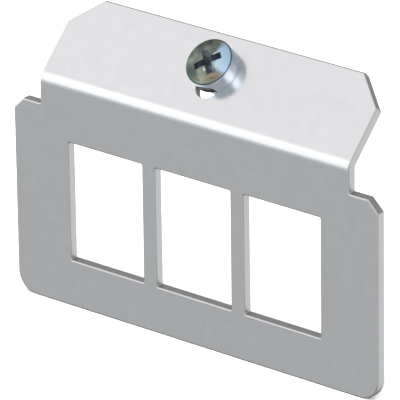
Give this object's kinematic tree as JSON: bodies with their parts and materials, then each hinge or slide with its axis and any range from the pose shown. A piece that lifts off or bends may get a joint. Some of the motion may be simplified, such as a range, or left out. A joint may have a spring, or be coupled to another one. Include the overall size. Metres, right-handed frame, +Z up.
{
  "type": "keystone insert plate",
  "caption": "Folded sheet-metal insert plate with a row of rectangular cut-outs for keystone jacks and a sloping top flange held by one captive cross-recess screw in a slot.",
  "frame": {"origin": "middle of the sheet's bottom edge: mid-width, mid-thickness, lowest face of the plate", "axes": "+X along the row of cut-outs, -Y out of the front face, +Z up; the flange leans back towards +Y"},
  "size_m": [0.072, 0.0132, 0.0489],
  "materials": {
    "galvanised_sheet": "fine-spangled zinc coating on cold-formed sheet, satin",
    "zinc_plated_steel": "bright zinc plating with blue passivation",
    "natural_polyamide": "stamped, satin"
  },
  "bodies": {
    "plate": {"plate": "galvanised_sheet"},
    "washer": {"retaining_washer": "natural_polyamide"},
    "screw": {"fixing_screw": "zinc_plated_steel"}
  },
  "joints": [
    {"name": "screw_slot_slide", "type": "slide", "parent": "plate", "child": "washer", "axis": [0, 0.7071, 0.7071], "range_m": [-0.0032, 0.0011]},
    {"name": "screw_turn", "type": "hinge", "parent": "washer", "child": "screw", "pos_m": [0, 0.00558, 0.04433], "axis": [0, -0.7071, 0.7071], "continuous": true}
  ]
}
